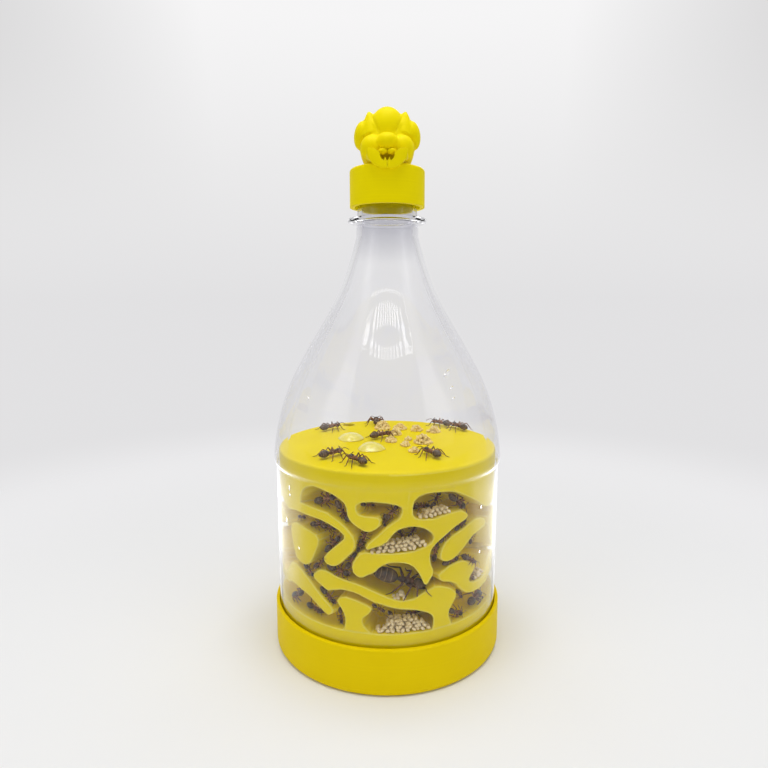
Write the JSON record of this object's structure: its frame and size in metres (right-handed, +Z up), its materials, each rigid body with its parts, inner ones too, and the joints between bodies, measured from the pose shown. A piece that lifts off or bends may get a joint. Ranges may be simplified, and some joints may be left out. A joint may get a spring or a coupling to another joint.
{
  "type": "ant habitat",
  "caption": "Ant habitat: printed nest with open galleries and a feeding deck in a base cup, under a clear cut bottle with a screw cap topped by an ant's head.",
  "frame": {"origin": "centre of the base cup's underside, on the surface it stands on", "axes": "+Z up along the bottle's axis; the ant's head faces -Y; +X to the right seen from the front"},
  "size_m": [0.1, 0.1, 0.2277],
  "materials": {
    "base_print": "satin, fine print layers",
    "nest_print": "satin, fine print layers",
    "cap_print": "satin, fine print layers",
    "clear_plastic": "clear and glossy",
    "seal_foam": "matte",
    "ant": "dark, slightly glossy",
    "brood": "soft cream",
    "crumb": "dry and rough",
    "sugar_water": "clear and wet"
  },
  "bodies": {
    "base": {"base_cup": "base_print", "nest_insert": "nest_print", "deck_workers": "ant", "gallery_workers": "ant", "queen_ant": "ant", "brood": "brood", "food_crumbs": "crumb", "sugar_drops": "sugar_water"},
    "bottle": {"bottle": "clear_plastic"},
    "seal": {"seal_disc": "seal_foam"},
    "cap": {"screw_cap": "cap_print", "ant_head": "cap_print"}
  },
  "joints": [
    {"name": "bottle_lift", "type": "slide", "parent": "base", "child": "bottle", "axis": [0, 0, 1], "range_m": [0, 0.1]},
    {"name": "cap_rise", "type": "slide", "parent": "bottle", "child": "seal", "axis": [0, 0, 1], "range_m": [0, 0.00405]},
    {"name": "cap_turn", "type": "hinge", "parent": "seal", "child": "cap", "pos_m": [0, 0, 0.2], "axis": [0, 0, 1], "range_deg": [0, 540]}
  ],
  "couplings": [
    {"joint": "cap_rise", "follows": "cap_turn", "m_per_rad": 0.00042972}
  ]
}
